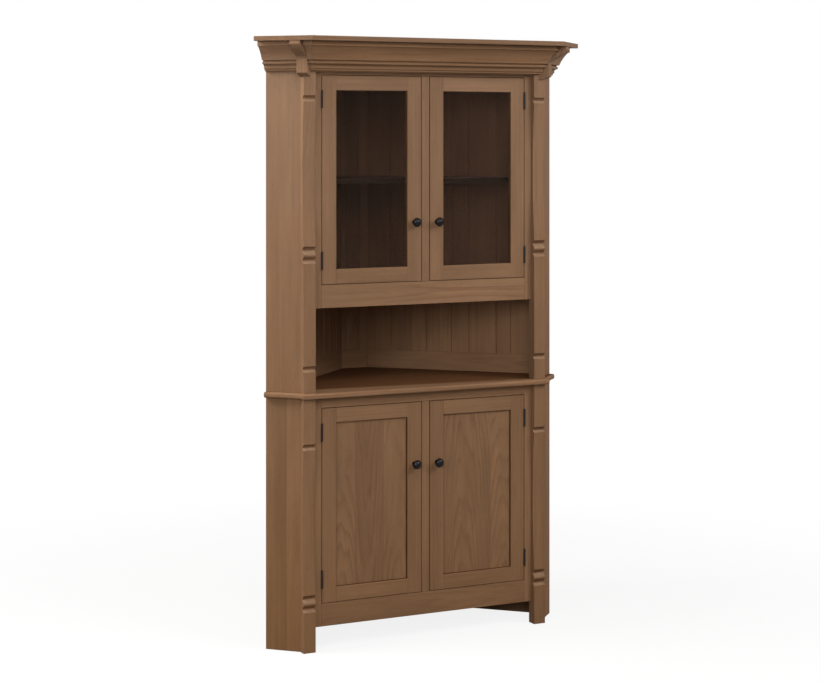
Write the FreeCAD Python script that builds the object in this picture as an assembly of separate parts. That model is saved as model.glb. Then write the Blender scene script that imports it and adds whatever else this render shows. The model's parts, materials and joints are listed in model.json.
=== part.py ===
import FreeCAD
import Part
import math
import os

# A corner hutch in two units: a base cabinet with two panelled doors under a counter,
# and a hutch on top of it with an open niche, two glazed doors and a mitred crown.
# Lengths are millimetres. Pieces are drawn with Y = 0 at the front of the posts,
# +Y into the room's corner and +Z up, and are shifted to the middle of the footprint when saved.

vector = FreeCAD.Vector

# Plan of both units
front_width = 943.0
post_width = 44.5
post_depth = 38.0
return_angle = 45.0
return_setback = 29.0
return_length = 126.0
return_thickness = 19.0
back_thickness = 16.0
corner_width = 106.0
board_thickness = 16.0

# Heights
base_height = 858.0
counter_thickness = 19.0
hutch_body_height = 1190.0
post_top_drop = 101.0
top_board_thickness = 16.0

# Face frame: stiles, rails and mullion set back behind the posts
frame_setback = 19.0
frame_thickness = 19.0
stile_width = 29.8
mullion_width = 30.0
base_bottom_rail_height = 77.6
base_bottom_rail_lift = 80.0
base_top_rail_height = 34.9
niche_height = 285.0
hutch_mid_rail_height = 78.8
hutch_top_rail_height = 110.5
floor_thickness = 16.0
top_panel_lift = 2.0

# Doors, inset flush with the face frame
door_gap = 2.0
door_thickness = 19.0
door_stile_width = 54.0
door_rail_height = 51.0
edge_chamfer = 2.0
rabbet_width = 8.0
rabbet_depth = 10.0
glass_thickness = 4.0
glass_clearance = 0.5
panel_recess = 8.0
panel_thickness = 6.5
panel_groove = 8.0
panel_clearance = 0.6
door_open_angle = 120.0

# Carved posts: single grooves, a double groove with a bead, and a long scooped face
groove_height = 20.0
groove_depth = 9.0
groove_floor_share = 0.62
groove_bulge_share = 0.72
scoop_depth = 11.0
scoop_margin = 4.0
upper_groove_height = 22.5
upper_groove_depth = 11.0
bead_height = 14.5
bead_recess = 2.5
bead_swell = 2.0
lower_groove_height = 20.0
lower_groove_depth = 9.0
hutch_top_groove_drop = 81.0
hutch_double_groove_drop = 592.5
hutch_foot_groove_lift = 92.0
base_top_groove_drop = 153.0
base_double_groove_drop = 663.5

# Counter
counter_overhang = 18.0
counter_side_overhang = 9.0
counter_edge_radius = 7.0

# Crown: a stepped frieze, a cove moulding and a top board
top_overhang = 107.0
frieze_height = 34.0
toe_projection = 4.5
toe_height = 3.5
band_projection = 12.5
band_height = 7.0
flat_projection = 18.0
flat_height = 9.5
neck_height = 6.0
bead_projection = 30.5
crown_neck_projection = 27.0
crown_neck_height = 5.0
cove_lip_projection = 37.5
cove_lip_height = 2.0
cove_top_projection = 70.0
cove_sag = 2.8
fillet_projection = 76.0
fillet_height = 16.0

# Corbels on the front corners of the crown
corbel_width = 38.0
corbel_reach = 84.0
corbel_nose_height = 12.0
corbel_block_reach = 19.5
corbel_block_top_drop = 64.0
corbel_height = 118.0
corbel_round_reach = 24.0
corbel_round_drop = 20.0
corbel_round_swell = 1.8
corbel_ledge_reach = 33.0
corbel_ledge_drop = 46.5
corbel_cove_sag = 3.5
corbel_foot_swell = 2.5
corbel_foot_round = 12.0
corbel_root = 45.0

# Tongue and groove back boards of the hutch, wide and narrow by turns
back_rail_height = 68.0
board_unit = 100.0
right_board_shares = (0.92, 0.79, 0.61, 0.98, 0.68, 1.05, 0.55)
left_board_shares = (0.58, 0.72, 0.58, 0.95, 0.66, 1.02, 0.74)
corner_board_unit = 53.0
corner_board_shares = (0.32, 1.02)
board_chamfer = 2.5
tongue_length = 5.0
tongue_thickness = 5.0
tongue_clearance = 0.5

# Shelves on cleats
shelf_setback = 60.0
shelf_clearance = 1.0
hutch_shelf_height = 706.0
base_shelf_height = 470.0
cleat_width = 16.0
cleat_height = 20.0
back_cleat_length = 420.0
return_cleat_length = 60.0

# Butt hinges of three knuckles, the pin fast in the cabinet's leaf
hinge_height = 62.0
hinge_from_end = 81.0
barrel_radius = 3.1
barrel_standoff = 0.3
pin_radius = 1.6
pin_clearance = 0.05
knuckle_clearance = 0.3
leaf_thickness = 1.6
leaf_gap = 0.5
leaf_width = 16.0
leaf_relief = 0.5

# Knobs
upper_knob_height = 1448.0
lower_knob_height = 607.0
knob_radius = 16.0
knob_projection = 33.0
knob_foot_radius = 8.5
knob_neck_radius = 5.8
knob_neck_height = 8.0
knob_rim_height = 22.5

# Double magnetic catch behind each mullion and a strike plate on each door
catch_width = 70.0
catch_height = 20.0
catch_depth = 14.0
catch_from_top = 22.0
strike_thickness = 1.5
strike_width = 14.0
strike_inset = 3.0
catch_clearance = 0.3

overrun = 200.0

# Places worked out from the sizes above
diagonal = math.sqrt(2.0)
turn = math.radians(return_angle)
mitre = math.tan(turn / 2.0)
post_out = front_width / 2.0
post_in = post_out - post_width
face_corner = post_out - return_setback
wall_x = post_out + return_length / diagonal
wall_y = return_setback + return_length / diagonal
wall_sum = wall_x + wall_y
back_sum = wall_sum - back_thickness * diagonal
return_diff = face_corner - return_thickness * diagonal
corner_half = corner_width / 2.0
corner_in_y = back_sum - corner_half
corner_out_y = corner_in_y + back_thickness
corner_out_half = wall_sum - corner_out_y
frame_back = frame_setback + frame_thickness
opening_out = post_in - stile_width
opening_in = mullion_width / 2.0
door_out = opening_out - door_gap
door_in = opening_in + door_gap
door_back = frame_setback + door_thickness
counter_top = base_height + counter_thickness
hutch_top = counter_top + hutch_body_height
crown_bottom = hutch_top - post_top_drop
cabinet_top = hutch_top + top_board_thickness
hutch_frame_bottom = counter_top + niche_height
hutch_opening_bottom = hutch_frame_bottom + hutch_mid_rail_height
hutch_opening_top = hutch_top - hutch_top_rail_height
base_opening_bottom = base_bottom_rail_lift + base_bottom_rail_height
base_opening_top = base_height - base_top_rail_height
hinge_x = opening_out - door_gap / 2.0
hinge_y = frame_setback - barrel_radius - barrel_standoff
origin_y = (corner_out_y - top_overhang) / 2.0


def box(x0, x1, y0, y1, z0, z1):
    return Part.makeBox(x1 - x0, y1 - y0, z1 - z0, vector(x0, y0, z0))


def prism(points, z0, z1):
    corners = [vector(x, y, z0) for x, y in points]
    face = Part.Face(Part.makePolygon(corners + corners[:1]))
    return face.extrude(vector(0, 0, z1 - z0))


def flip(shape):
    return shape.mirror(vector(0, 0, 0), vector(1, 0, 0))


def both_sides(points):
    """A plan that is alike left and right, from the points of its right half."""
    return points + [(-x, y) for x, y in reversed(points)]


def save(name, *shapes):
    whole = shapes[0] if len(shapes) == 1 else Part.makeCompound(list(shapes))
    placed = whole.copy()
    placed.translate(vector(0, -origin_y, 0))
    placed.exportStep("parts/" + name + ".step")


def inside_plan(front_y, clearance):
    """The room inside the cabinet behind front_y, that much smaller all round."""
    slack = clearance * diagonal
    diff = return_diff - slack
    total = back_sum - slack
    back_y = corner_in_y - clearance
    return both_sides([
        (diff + front_y, front_y),
        ((total + diff) / 2.0, (total - diff) / 2.0),
        (total - back_y, back_y),
    ])


# A cut outline is a chain of lines and arcs, held as (across, up) pairs.
def chain_face(steps, place):
    edges = []
    for step in steps:
        ends = [place(*point) for point in step]
        if len(ends) == 3:
            edges.append(Part.Arc(*ends).toShape())
        else:
            edges.append(Part.LineSegment(*ends).toShape())
    return Part.Face(Part.Wire(edges))


def run(points):
    return [(a, b) for a, b in zip(points, points[1:])]


def bulge(a, b, swell):
    """An arc from a to b, its middle moved off the chord to the left of the way it goes."""
    dx = b[0] - a[0]
    dy = b[1] - a[1]
    length = math.hypot(dx, dy)
    middle = ((a[0] + b[0]) / 2.0 - dy / length * swell, (a[1] + b[1]) / 2.0 + dx / length * swell)
    return (a, middle, b)


def groove_steps(top, height, depth, lip):
    """A cove that runs in under the face, then a ledge that slopes back out."""
    floor = (depth, top - height * groove_floor_share)
    cove_sag = depth * (1.0 - groove_bulge_share)
    return [bulge((0.0, top), floor, cove_sag), (floor, (lip, top - height))]


def double_groove_steps(top):
    bead_top = top - upper_groove_height
    bead_bottom = bead_top - bead_height
    floor = (lower_groove_depth, bead_bottom - lower_groove_height * groove_floor_share)
    steps = groove_steps(top, upper_groove_height, upper_groove_depth, bead_recess)
    steps.append(bulge((bead_recess, bead_top), (bead_recess, bead_bottom), -bead_swell))
    steps.append(bulge((bead_recess, bead_bottom), floor, lower_groove_depth * (1.0 - groove_bulge_share)))
    steps.append((floor, (0.0, bead_bottom - lower_groove_height)))
    return steps


def post(bottom, top, top_groove, double_groove, foot_groove=None):
    """One post on the left, sawn and routed along its front face only."""
    scoop_top = top_groove - groove_height
    scoop_low = double_groove + scoop_margin
    double_bottom = double_groove - upper_groove_height - bead_height - lower_groove_height
    steps = [((0.0, top), (0.0, top_groove))]
    steps += groove_steps(top_groove, groove_height, groove_depth, 0.0)
    steps.append(bulge((0.0, scoop_top), (0.0, scoop_low), scoop_depth))
    steps.append(((0.0, scoop_low), (0.0, double_groove)))
    steps += double_groove_steps(double_groove)
    plain_from = double_bottom
    if foot_groove is not None:
        steps.append(((0.0, plain_from), (0.0, foot_groove)))
        steps += groove_steps(foot_groove, groove_height, groove_depth, 0.0)
        plain_from = foot_groove - groove_height
    steps += run([(0.0, plain_from), (0.0, bottom), (post_depth, bottom), (post_depth, top), (0.0, top)])
    face = chain_face(steps, lambda depth, z: vector(-post_out, depth, z))
    return face.extrude(vector(post_width, 0, 0))


def return_panel(bottom, top):
    """The short side on the right, bevelled to seat on the post's side and back."""
    plan = [
        (post_out, return_setback),
        (wall_x, wall_y),
        ((wall_sum + return_diff) / 2.0, (wall_sum - return_diff) / 2.0),
        (return_diff + post_depth, post_depth),
        (post_out, post_depth),
    ]
    return prism(plan, bottom, top)


# Back boards lie along a wall: u runs away from the room's corner on the inner face,
# and v goes from the inner face to the wall.
def wall_point(u, v):
    x = corner_half + (u + v) / diagonal
    y = corner_in_y - (u - v) / diagonal
    return (x, y)


wall_length = ((back_sum + return_diff) / 2.0 - corner_half) * diagonal


def board_plan(u0, u1, groove_at_start, tongue_at_end, start_slope, end_slope):
    """One board: a groove takes the last board's tongue, and both meet in a V."""
    side = (back_thickness - tongue_thickness) / 2.0
    deep = tongue_length + tongue_clearance
    points = []
    if groove_at_start:
        points += [(u0 + board_chamfer, 0.0), (u0, board_chamfer), (u0, side), (u0 + deep, side)]
        points += [(u0 + deep, back_thickness - side), (u0, back_thickness - side), (u0, back_thickness)]
    else:
        points += [(u0, 0.0), (u0 - back_thickness * start_slope, back_thickness)]
    if tongue_at_end:
        tip = u1 + tongue_length
        points += [(u1, back_thickness), (u1, back_thickness - side), (tip, back_thickness - side)]
        points += [(tip, side), (u1, side), (u1, board_chamfer), (u1 - board_chamfer, 0.0)]
    else:
        points += [(u1 + back_thickness * end_slope, back_thickness), (u1, 0.0)]
    return points


def board_row(shares, unit, length, start_slope, end_slope):
    """Plans of a row of boards in (u, v), the last one taking what is left."""
    edges = [0.0]
    for share in shares:
        edges.append(edges[-1] + share * unit)
    edges.append(length)
    last = len(edges) - 2
    rows = []
    for i in range(last + 1):
        rows.append(board_plan(edges[i], edges[i + 1], i > 0, i < last, start_slope, end_slope))
    return rows


def boarded_back(shares):
    """The hutch's back on the right wall: boards over a plain bottom rail."""
    rail_top = counter_top + back_rail_height
    pieces = []
    for plan in board_row(shares, board_unit, wall_length, mitre, 0.0):
        pieces.append(prism([wall_point(u, v) for u, v in plan], rail_top, hutch_top))
    rail = board_plan(0.0, wall_length, False, False, mitre, 0.0)
    pieces.append(prism([wall_point(u, v) for u, v in rail], counter_top, rail_top))
    return pieces


def boarded_corner():
    rail_top = counter_top + back_rail_height
    pieces = []
    for plan in board_row(corner_board_shares, corner_board_unit, corner_width, mitre, mitre):
        points = [(u - corner_half, corner_in_y + v) for u, v in plan]
        pieces.append(prism(points, rail_top, hutch_top))
    rail = board_plan(0.0, corner_width, False, False, mitre, mitre)
    points = [(u - corner_half, corner_in_y + v) for u, v in rail]
    pieces.append(prism(points, counter_top, rail_top))
    return pieces


def plain_back(bottom, top):
    plan = board_plan(0.0, wall_length, False, False, mitre, 0.0)
    return prism([wall_point(u, v) for u, v in plan], bottom, top)


def plain_corner(bottom, top):
    plan = board_plan(0.0, corner_width, False, False, mitre, mitre)
    return prism([(u - corner_half, corner_in_y + v) for u, v in plan], bottom, top)


def outer_plan(overhang):
    """The carcass outline pushed out over the front and the returns, flush at the walls."""
    step = overhang / diagonal
    return both_sides([
        (face_corner + overhang * mitre, -overhang),
        (wall_x + step, wall_y - step),
        (corner_out_half, corner_out_y),
    ])


def lies_in_front(edge):
    """An edge that runs level along the front or a return, not along a wall."""
    middle = edge.CenterOfMass
    level = abs(edge.Vertexes[0].Z - edge.Vertexes[-1].Z) < counter_edge_radius
    return level and abs(middle.x) + middle.y < wall_sum - back_thickness


def make_counter():
    side = post_out + counter_side_overhang
    offset = face_corner + counter_overhang * diagonal
    step = counter_overhang / diagonal
    plan = both_sides([
        (side, -counter_overhang),
        (side, side - offset),
        (wall_x + step, wall_y - step),
        (corner_out_half, corner_out_y),
    ])
    slab = prism(plan, base_height, counter_top)
    nose = [edge for edge in slab.Edges if lies_in_front(edge)]
    return slab.makeFillet(counter_edge_radius, nose)


# Crown mouldings are run as one section, (out, up), along the front and along a return.
def frieze_section():
    toe_top = crown_bottom + toe_height
    band_top = toe_top + band_height
    flat_top = band_top + flat_height
    neck_top = flat_top + neck_height
    top = crown_bottom + frieze_height
    steps = run([
        (0.0, crown_bottom), (toe_projection, crown_bottom), (toe_projection, toe_top),
        (band_projection, toe_top), (band_projection, band_top),
        (flat_projection, band_top), (flat_projection, flat_top),
    ])
    neck = ((flat_projection, flat_top), (bead_projection, neck_top))
    steps.append(bulge(neck[0], neck[1], neck_height / 4.0))
    steps.append(bulge((bead_projection, neck_top), (bead_projection, top), -toe_height / 3.0))
    steps += run([(bead_projection, top), (0.0, top), (0.0, crown_bottom)])
    return steps


def crown_section():
    bottom = crown_bottom + frieze_height
    lip = bottom + crown_neck_height
    fillet_bottom = hutch_top - fillet_height
    cove = [(cove_lip_projection, lip + cove_lip_height), (cove_top_projection, fillet_bottom)]
    steps = run([
        (0.0, bottom), (crown_neck_projection, bottom), (crown_neck_projection, lip),
        (cove_lip_projection, lip), cove[0],
    ])
    steps.append(bulge(cove[0], cove[1], cove_sag))
    steps += run([
        cove[1], (fillet_projection, fillet_bottom), (fillet_projection, hutch_top),
        (0.0, hutch_top), (0.0, bottom),
    ])
    return steps


def front_moulding(section):
    reach = top_overhang
    far = face_corner + reach
    face = chain_face(section, lambda out, z: vector(-far, -out, z))
    length = face.extrude(vector(2.0 * far, 0, 0))
    plan = both_sides([(face_corner + reach * mitre, -reach), (face_corner, 0.0)])
    return length.common(prism(plan, crown_bottom, hutch_top))


def return_moulding(section):
    """The same section on the right return, mitred to the front and cut flush at the wall."""
    reach = top_overhang
    step = reach / diagonal
    along = (wall_x - face_corner) * diagonal
    start = vector(face_corner - step, -step, 0)
    face = chain_face(
        section,
        lambda out, z: start + vector(out / diagonal, -out / diagonal, z),
    )
    length = face.extrude(vector(1, 1, 0) / diagonal * (along + 2.0 * reach))
    plan = [
        (face_corner, 0.0),
        (face_corner + reach * mitre, -reach),
        (wall_x + step, wall_y - step),
        (wall_x, wall_y),
    ]
    return length.common(prism(plan, crown_bottom, hutch_top))


def make_backer():
    """Packs the top rail out to the post line and caps both posts."""
    plan = both_sides([
        (face_corner, 0.0),
        (post_out, return_setback),
        (post_out, post_depth),
        (post_in, post_depth),
        (post_in, frame_setback),
    ])
    return prism(plan, crown_bottom, hutch_top)


def corbel(neighbours):
    """The right corbel: a sawn bracket set square to the return, coped over the mouldings."""
    top = hutch_top
    bottom = top - corbel_height
    nose = (corbel_reach, top - corbel_nose_height)
    belly = (corbel_reach - corbel_round_reach, top - corbel_nose_height - corbel_round_drop)
    ledge = (corbel_ledge_reach, top - corbel_ledge_drop)
    throat = (corbel_block_reach, top - corbel_block_top_drop)
    foot_front = (corbel_block_reach, bottom + corbel_foot_round)
    foot_back = (-corbel_block_reach, bottom)
    steps = run([(-corbel_root, top), (corbel_reach, top), nose])
    steps.append(bulge(nose, belly, corbel_round_swell))
    steps.append((belly, ledge))
    steps.append(bulge(ledge, throat, -corbel_cove_sag))
    steps.append((throat, foot_front))
    steps.append(bulge(foot_front, foot_back, corbel_foot_swell))
    steps += run([foot_back, (-corbel_root, bottom), (-corbel_root, top)])
    half = corbel_width / 2.0 / diagonal
    start = vector(post_out - half, -half, 0)
    face = chain_face(
        steps,
        lambda out, z: start + vector(out / diagonal, -out / diagonal, z),
    )
    bracket = face.extrude(vector(1, 1, 0) / diagonal * corbel_width)
    carcass = prism(outer_plan(0.0), bottom - corbel_foot_round, top)
    bracket = bracket.cut(carcass)
    for piece in neighbours:
        bracket = bracket.cut(piece)
    return max(bracket.Solids, key=lambda solid: solid.Volume)


def door_box(bottom, top):
    """The door's place on the right: low and high X, low and high Z."""
    return (door_in, door_out, bottom + door_gap, top - door_gap)


def sight_opening(place, grow, y0, y1):
    """The hole inside a door's stiles and rails, larger by grow on each side."""
    x0, x1, z0, z1 = place
    return box(x0 + door_stile_width - grow, x1 - door_stile_width + grow, y0, y1,
               z0 + door_rail_height - grow, z1 - door_rail_height + grow)


def chamfer_tool(place):
    x0, x1, z0, z1 = place
    rings = []
    for grow, y in ((edge_chamfer, frame_setback), (0.0, frame_setback + edge_chamfer)):
        left = x0 + door_stile_width - grow
        right = x1 - door_stile_width + grow
        low = z0 + door_rail_height - grow
        high = z1 - door_rail_height + grow
        corners = [vector(left, y, low), vector(right, y, low), vector(right, y, high), vector(left, y, high)]
        rings.append(Part.makePolygon(corners + corners[:1]))
    return Part.makeLoft(rings, True, True)


def hinge_heights(place):
    return [place[2] + hinge_from_end, place[3] - hinge_from_end]


def leaf_box(side, centre, grow):
    """A leaf's plate: side is +1 on the cabinet's stile and -1 on the door's."""
    near = hinge_x + side * leaf_gap / 2.0
    far = near + side * leaf_thickness
    low = min(near, far)
    return box(low, low + leaf_thickness, hinge_y + barrel_radius + leaf_relief - grow,
               frame_setback + leaf_width, centre - hinge_height / 2.0, centre + hinge_height / 2.0)


def leaf_web(side, z0, z1):
    """Ties a leaf's plate to its knuckle between two heights."""
    near = hinge_x + side * leaf_gap / 2.0
    low = min(near, near + side * leaf_thickness)
    return box(low, low + leaf_thickness, hinge_y, hinge_y + barrel_radius + leaf_relief, z0, z1)


def barrel(radius, z0, z1):
    return Part.makeCylinder(radius, z1 - z0, vector(hinge_x, hinge_y, z0))


def cabinet_leaf(centre):
    """The cabinet's leaf: the two outer knuckles and the pin between them."""
    low = centre - hinge_height / 2.0
    high = centre + hinge_height / 2.0
    knuckle = hinge_height / 3.0
    parts = [leaf_web(1, low, low + knuckle), leaf_web(1, high - knuckle, high)]
    parts += [barrel(barrel_radius, low, low + knuckle), barrel(barrel_radius, high - knuckle, high)]
    parts.append(barrel(pin_radius, low + knuckle, high - knuckle))
    return leaf_box(1, centre, 0.0).fuse(parts).removeSplitter().Solids[0]


def door_leaf(centre):
    """The door's leaf, whose one knuckle turns on the pin."""
    half = hinge_height / 6.0 - knuckle_clearance
    leaf = leaf_box(-1, centre, 0.0)
    leaf = leaf.fuse([leaf_web(-1, centre - half, centre + half), barrel(barrel_radius, centre - half, centre + half)])
    bore = barrel(pin_radius + pin_clearance, centre - half, centre + half)
    return leaf.cut(bore).removeSplitter().Solids[0]


def make_knob(centre):
    """A turned mushroom knob: a flared foot, a conical back and a domed face."""
    x = door_in + door_stile_width / 2.0
    rim = frame_setback - knob_rim_height
    front = frame_setback - knob_projection
    steps = run([
        (0.0, frame_setback), (knob_foot_radius, frame_setback),
        (knob_neck_radius, frame_setback - knob_neck_height),
        (knob_radius, rim), (0.0, rim), (0.0, frame_setback),
    ])
    outline = chain_face(steps, lambda r, y: vector(x + r, y, centre))
    knob = outline.revolve(vector(x, 0, centre), vector(0, 1, 0), 360)
    dome_height = rim - front
    dome_radius = (knob_radius ** 2 + dome_height ** 2) / dome_height / 2.0
    rim_angle = math.degrees(math.acos(knob_radius / dome_radius))
    dome = Part.makeSphere(dome_radius, vector(x, front + dome_radius, centre), vector(0, -1, 0), rim_angle, 90, 360)
    return knob.fuse(dome).removeSplitter().Solids[0]


def catch_centre(opening_top):
    return opening_top - catch_from_top


def strike_plate(opening_top):
    centre = catch_centre(opening_top)
    return box(door_in + strike_inset, door_in + strike_inset + strike_width,
               door_back, door_back + strike_thickness,
               centre - catch_height / 2.0, centre + catch_height / 2.0)


def make_catch(opening_top):
    """The catch body behind the mullion, with a pad that fills up to the mullion's back."""
    centre = catch_centre(opening_top)
    z0 = centre - catch_height / 2.0
    z1 = centre + catch_height / 2.0
    front = door_back + strike_thickness + catch_clearance
    body = box(-catch_width / 2.0, catch_width / 2.0, front, front + catch_depth, z0, z1)
    pad = box(-opening_in, opening_in, frame_back, front, z0, z1)
    return body.fuse(pad).removeSplitter().Solids[0]


def door_frame(place, cuts):
    """Two stiles and two rails of the right door, cut for its glass or panel and its hinges."""
    x0, x1, z0, z1 = place
    inner0 = x0 + door_stile_width
    inner1 = x1 - door_stile_width
    pieces = [
        box(x0, inner0, frame_setback, door_back, z0, z1),
        box(inner1, x1, frame_setback, door_back, z0, z1),
        box(inner0, inner1, frame_setback, door_back, z0, z0 + door_rail_height),
        box(inner0, inner1, frame_setback, door_back, z1 - door_rail_height, z1),
    ]
    tools = cuts + [chamfer_tool(place)]
    tools += [leaf_box(-1, centre, leaf_relief) for centre in hinge_heights(place)]
    shaped = []
    for piece in pieces:
        for tool in tools:
            piece = piece.cut(tool)
        shaped.append(piece.Solids[0])
    return shaped


def glazing_beads(place):
    """Four strips that hold the glass in its rabbet from behind."""
    front = frame_setback + rabbet_depth + glass_thickness
    x0 = place[0] + door_stile_width
    x1 = place[1] - door_stile_width
    z0 = place[2] + door_rail_height
    z1 = place[3] - door_rail_height
    out = rabbet_width
    return [
        box(x0 - out, x0, front, door_back, z0, z1),
        box(x1, x1 + out, front, door_back, z0, z1),
        box(x0 - out, x1 + out, front, door_back, z0 - out, z0),
        box(x0 - out, x1 + out, front, door_back, z1, z1 + out),
    ]


def fittings(place, opening_top, knob_height):
    """What is screwed to a door: hinge leaves, the catch's strike plate and the knob."""
    leaves = [door_leaf(centre) for centre in hinge_heights(place)]
    return leaves + [strike_plate(opening_top), make_knob(knob_height)]


def save_pair(left_name, right_name, shapes):
    """Right-hand solids as drawn, and the same ones mirrored for the left."""
    save(right_name, *shapes)
    save(left_name, *[flip(shape) for shape in shapes])


def frame_stile(bottom, top, place):
    """The right stile of a face frame, let in for its hinge leaves."""
    stile = box(opening_out, post_in, frame_setback, frame_back, bottom, top)
    for centre in hinge_heights(place):
        stile = stile.cut(leaf_box(1, centre, leaf_relief))
    return stile


def save_posts():
    hutch_post = post(counter_top, crown_bottom, crown_bottom - hutch_top_groove_drop,
                      crown_bottom - hutch_double_groove_drop, counter_top + hutch_foot_groove_lift)
    base_post = post(0.0, base_height, base_height - base_top_groove_drop,
                     base_height - base_double_groove_drop)
    save_pair("hutch_post_left", "hutch_post_right", [flip(hutch_post)])
    save_pair("base_post_left", "base_post_right", [flip(base_post)])
    return flip(hutch_post)


def save_shells():
    """Returns and backs of both units."""
    save_pair("hutch_return_left", "hutch_return_right", [return_panel(counter_top, hutch_top)])
    save_pair("base_return_left", "base_return_right", [return_panel(0.0, base_height)])
    save("hutch_back_right", *boarded_back(right_board_shares))
    save("hutch_back_left", *[flip(piece) for piece in boarded_back(left_board_shares)])
    save("hutch_back_corner", *boarded_corner())
    save_pair("base_back_left", "base_back_right", [plain_back(0.0, base_height)])
    save("base_back_corner", plain_corner(0.0, base_height))


def save_face_frames(upper, lower):
    save_pair("hutch_stile_left", "hutch_stile_right", [frame_stile(hutch_frame_bottom, hutch_top, upper)])
    save_pair("base_stile_left", "base_stile_right", [frame_stile(base_bottom_rail_lift, base_height, lower)])
    rails = {
        "hutch_mid_rail": (opening_out, hutch_frame_bottom, hutch_opening_bottom),
        "hutch_top_rail": (opening_out, hutch_opening_top, hutch_top),
        "hutch_mullion": (opening_in, hutch_opening_bottom, hutch_opening_top),
        "base_bottom_rail": (opening_out, base_bottom_rail_lift, base_opening_bottom),
        "base_top_rail": (opening_out, base_opening_top, base_height),
        "base_mullion": (opening_in, base_opening_bottom, base_opening_top),
    }
    for name, (half, z0, z1) in rails.items():
        save(name, box(-half, half, frame_setback, frame_back, z0, z1))


def save_shelves():
    """Floors and the hutch's top panel fit tight; the two shelves drop in on cleats."""
    tight = inside_plan(frame_back, 0.0)
    top_panel = hutch_opening_top + top_panel_lift
    save("hutch_floor", prism(tight, hutch_opening_bottom - floor_thickness, hutch_opening_bottom))
    save("base_floor", prism(tight, base_opening_bottom - floor_thickness, base_opening_bottom))
    save("hutch_top_panel", prism(tight, top_panel, top_panel + floor_thickness))
    loose = inside_plan(shelf_setback, shelf_clearance)
    for unit, bottom in (("hutch", counter_top + hutch_shelf_height), ("base", base_shelf_height)):
        save(unit + "_shelf", prism(loose, bottom, bottom + board_thickness))
        save(unit + "_shelf_cleats", *shelf_cleats(bottom))


def shelf_cleats(top):
    """Strips screwed to the backs and the returns, which carry a shelf from below."""
    middle = wall_length / 2.0
    start = middle - back_cleat_length / 2.0
    wall_plan = [(start, 0.0), (start, -cleat_width),
                 (start + back_cleat_length, -cleat_width), (start + back_cleat_length, 0.0)]
    on_wall = prism([wall_point(u, v) for u, v in wall_plan], top - cleat_height, top)
    x = return_diff + shelf_setback + shelf_clearance * diagonal
    y = shelf_setback + shelf_clearance * diagonal
    step = return_cleat_length / diagonal
    inward = cleat_width / diagonal
    return_plan = [(x, y), (x + step, y + step), (x + step - inward, y + step + inward), (x - inward, y + inward)]
    on_return = prism(return_plan, top - cleat_height, top)
    return [on_wall, flip(on_wall), on_return, flip(on_return)]


def save_crown(hutch_post):
    backer = make_backer()
    frieze = return_moulding(frieze_section())
    crown = return_moulding(crown_section())
    save("crown_backer", backer)
    save("frieze_front", front_moulding(frieze_section()))
    save("crown_front", front_moulding(crown_section()))
    save_pair("frieze_left", "frieze_right", [frieze])
    save_pair("crown_left", "crown_right", [crown])
    save("crown_top_board", prism(outer_plan(top_overhang), hutch_top, cabinet_top))
    save_pair("corbel_left", "corbel_right", [corbel([hutch_post, backer, frieze, crown])])


def save_upper_doors(place):
    opening_back = frame_setback + rabbet_depth
    cuts = [
        sight_opening(place, 0.0, 0.0, overrun),
        sight_opening(place, rabbet_width, opening_back, overrun),
    ]
    frame = door_frame(place, cuts)
    glass = sight_opening(place, rabbet_width - glass_clearance, opening_back, opening_back + glass_thickness)
    save_pair("upper_left_door_frame", "upper_right_door_frame", frame)
    save_pair("upper_left_door_glass", "upper_right_door_glass", [glass])
    save_pair("upper_left_door_beads", "upper_right_door_beads", glazing_beads(place))
    save_pair("upper_left_door_fittings", "upper_right_door_fittings",
              fittings(place, hutch_opening_top, upper_knob_height))


def save_lower_doors(place):
    panel_front = frame_setback + panel_recess
    panel_back = panel_front + panel_thickness
    cuts = [
        sight_opening(place, 0.0, 0.0, overrun),
        sight_opening(place, panel_groove, panel_front, panel_back),
    ]
    frame = door_frame(place, cuts)
    panel = sight_opening(place, panel_groove - panel_clearance, panel_front, panel_back)
    save_pair("lower_left_door_frame", "lower_right_door_frame", frame)
    save_pair("lower_left_door_panel", "lower_right_door_panel", [panel])
    save_pair("lower_left_door_fittings", "lower_right_door_fittings",
              fittings(place, base_opening_top, lower_knob_height))


def save_hardware(places):
    """The cabinet's own hinge leaves and the catches."""
    leaves = [cabinet_leaf(centre) for place in places for centre in hinge_heights(place)]
    save("hinge_frame_leaves", *leaves, *[flip(leaf) for leaf in leaves])
    save("hutch_catch", make_catch(hutch_opening_top))
    save("base_catch", make_catch(base_opening_top))


def main():
    os.makedirs("parts", exist_ok=True)
    upper = door_box(hutch_opening_bottom, hutch_opening_top)
    lower = door_box(base_opening_bottom, base_opening_top)
    hutch_post = save_posts()
    save_shells()
    save_face_frames(upper, lower)
    save_shelves()
    save("countertop", make_counter())
    save_crown(hutch_post)
    save_upper_doors(upper)
    save_lower_doors(lower)
    save_hardware([upper, lower])
    print("footprint %.1f x %.1f, height %.1f" % (
        2.0 * wall_x + top_overhang * diagonal, corner_out_y + top_overhang, cabinet_top))
    print("origin %.2f mm behind the post fronts" % origin_y)
    print("hinge axes at x %.2f, y %.2f" % (hinge_x, hinge_y - origin_y))


main()
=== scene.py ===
# A corner hutch in stained oak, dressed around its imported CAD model.
import json
import math
import random

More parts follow.
